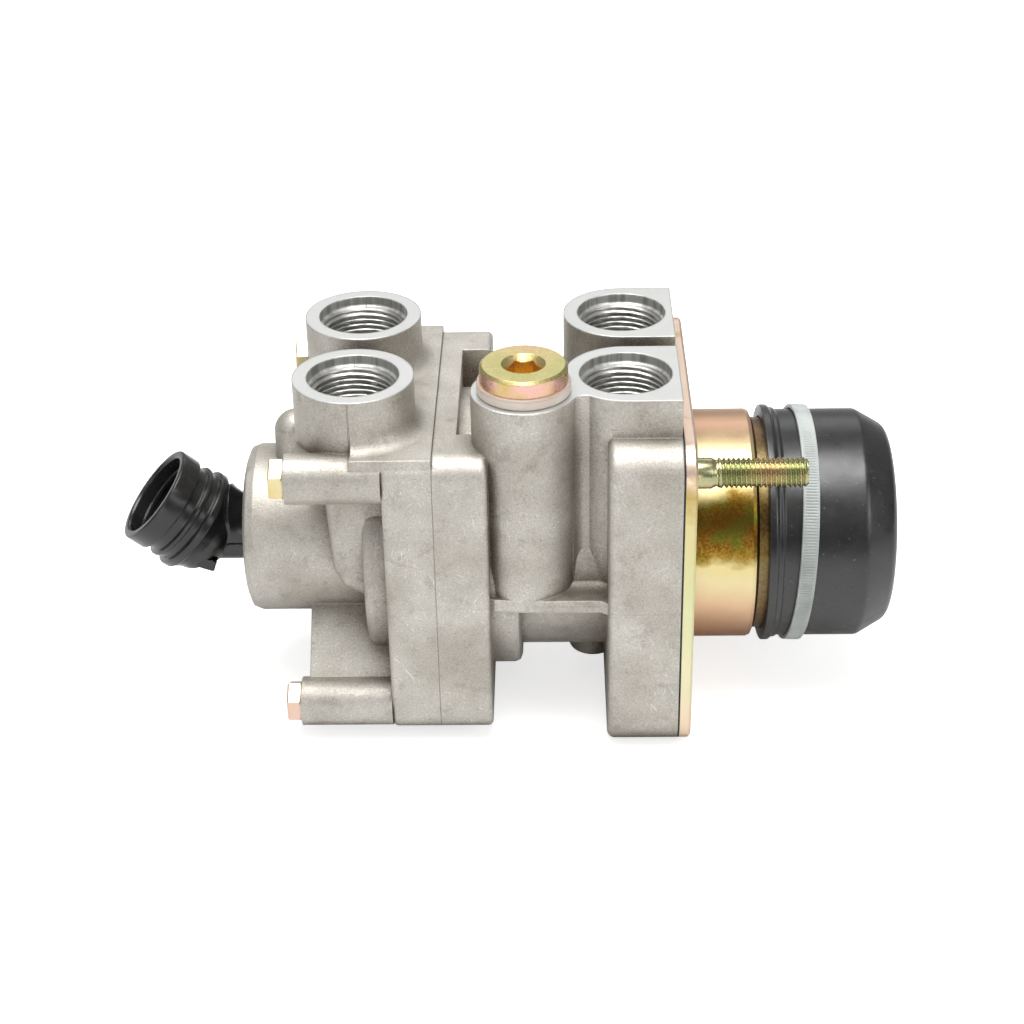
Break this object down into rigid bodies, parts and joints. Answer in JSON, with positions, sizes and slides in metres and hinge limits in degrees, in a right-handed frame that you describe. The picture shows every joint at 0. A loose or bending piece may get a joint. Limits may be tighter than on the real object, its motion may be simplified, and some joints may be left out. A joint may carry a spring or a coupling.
{
  "type": "truck foot brake valve",
  "caption": "Air foot brake valve in cast aluminium: top ports, hex blanking plug, steel plate with studs, rubber booted plunger, black plastic exhaust elbow.",
  "frame": {"origin": "centre of the mounting plate's outer face, on the valve's axis", "axes": "+X along the valve's axis towards the pedal, +Z the way the line ports face"},
  "size_m": [0.2099, 0.0898, 0.1078],
  "materials": {
    "cast_aluminium": "matt as-cast, machined port faces",
    "cast_aluminium_lower": "matt as-cast, machined port faces",
    "ring_rubber": "black sealing rubber",
    "zinc_bolts": "yellow zinc",
    "zinc_plug": "yellow zinc",
    "washer_nylon": "translucent white nylon",
    "zinc_plate": "yellow zinc",
    "gasket_paper": "black sealing sheet",
    "zinc_studs": "yellow zinc",
    "zinc_tube": "yellow zinc",
    "bush_nylon": "filled nylon",
    "clip_steel": "phosphated spring steel",
    "plunger_plastic": "black filled nylon",
    "seat_steel": "pressed steel",
    "spring_steel": "spring steel",
    "boot_rubber": "satin black rubber",
    "tie_nylon": "natural nylon",
    "turned_aluminium": "turned",
    "valve_rubber": "rubber on a brass core",
    "guide_aluminium": "turned, hard anodised dark",
    "elbow_plastic": "semi-gloss black nylon"
  },
  "bodies": {
    "valve_body": {"upper_body": "cast_aluminium", "lower_body": "cast_aluminium_lower", "body_seal": "ring_rubber", "body_bolts": "zinc_bolts", "blanking_plug": "zinc_plug", "plug_washer": "washer_nylon", "mounting_plate": "zinc_plate", "plate_gasket": "gasket_paper", "mounting_studs": "zinc_studs", "guide_tube": "zinc_tube", "plunger_bush": "bush_nylon", "bush_clip": "clip_steel", "graduating_spring": "spring_steel", "dust_boot": "boot_rubber", "boot_tie": "tie_nylon", "primary_clip": "clip_steel", "primary_return_spring": "spring_steel", "upper_valve_spring": "spring_steel", "upper_valve_guide": "guide_aluminium", "upper_guide_ring": "ring_rubber", "upper_guide_clip": "clip_steel", "relay_return_spring": "spring_steel", "lower_valve_spring": "spring_steel", "lower_valve_guide": "guide_aluminium", "lower_guide_ring": "ring_rubber", "lower_guide_clip": "clip_steel"},
    "plunger": {"plunger": "plunger_plastic", "spring_seat": "seat_steel"},
    "primary_piston": {"primary_piston": "turned_aluminium", "primary_piston_ring": "ring_rubber"},
    "upper_valve": {"upper_inlet_valve": "valve_rubber"},
    "relay_piston": {"relay_piston": "turned_aluminium", "relay_piston_rings": "ring_rubber"},
    "lower_valve": {"lower_inlet_valve": "valve_rubber"},
    "exhaust_elbow": {"exhaust_elbow": "elbow_plastic", "elbow_ring": "ring_rubber"}
  },
  "joints": [
    {"name": "plunger_slide", "type": "slide", "parent": "valve_body", "child": "plunger", "axis": [-1, 0, 0], "range_m": [0, 0.01], "stiffness_N_per_m": 20000, "springref_m": -0.001, "deforming": ["graduating_spring", "dust_boot"]},
    {"name": "primary_piston_slide", "type": "slide", "parent": "valve_body", "child": "primary_piston", "axis": [-1, 0, 0], "range_m": [0, 0.003], "deforming": ["primary_return_spring"]},
    {"name": "upper_valve_slide", "type": "slide", "parent": "valve_body", "child": "upper_valve", "axis": [-1, 0, 0], "range_m": [0, 0.00225], "deforming": ["upper_valve_spring"]},
    {"name": "relay_piston_slide", "type": "slide", "parent": "valve_body", "child": "relay_piston", "axis": [-1, 0, 0], "range_m": [0, 0.003], "deforming": ["relay_return_spring"]},
    {"name": "lower_valve_slide", "type": "slide", "parent": "valve_body", "child": "lower_valve", "axis": [-1, 0, 0], "range_m": [0, 0.00225], "deforming": ["lower_valve_spring"]},
    {"name": "elbow_swivel", "type": "hinge", "parent": "valve_body", "child": "exhaust_elbow", "pos_m": [-0.1329, 0, 0], "axis": [1, 0, 0], "continuous": true}
  ],
  "couplings": [
    {"joint": "primary_piston_slide", "follows": "plunger_slide", "ratio": 0.3},
    {"joint": "upper_valve_slide", "follows": "plunger_slide", "ratio": 0.225},
    {"joint": "relay_piston_slide", "follows": "plunger_slide", "ratio": 0.3},
    {"joint": "lower_valve_slide", "follows": "plunger_slide", "ratio": 0.225}
  ]
}
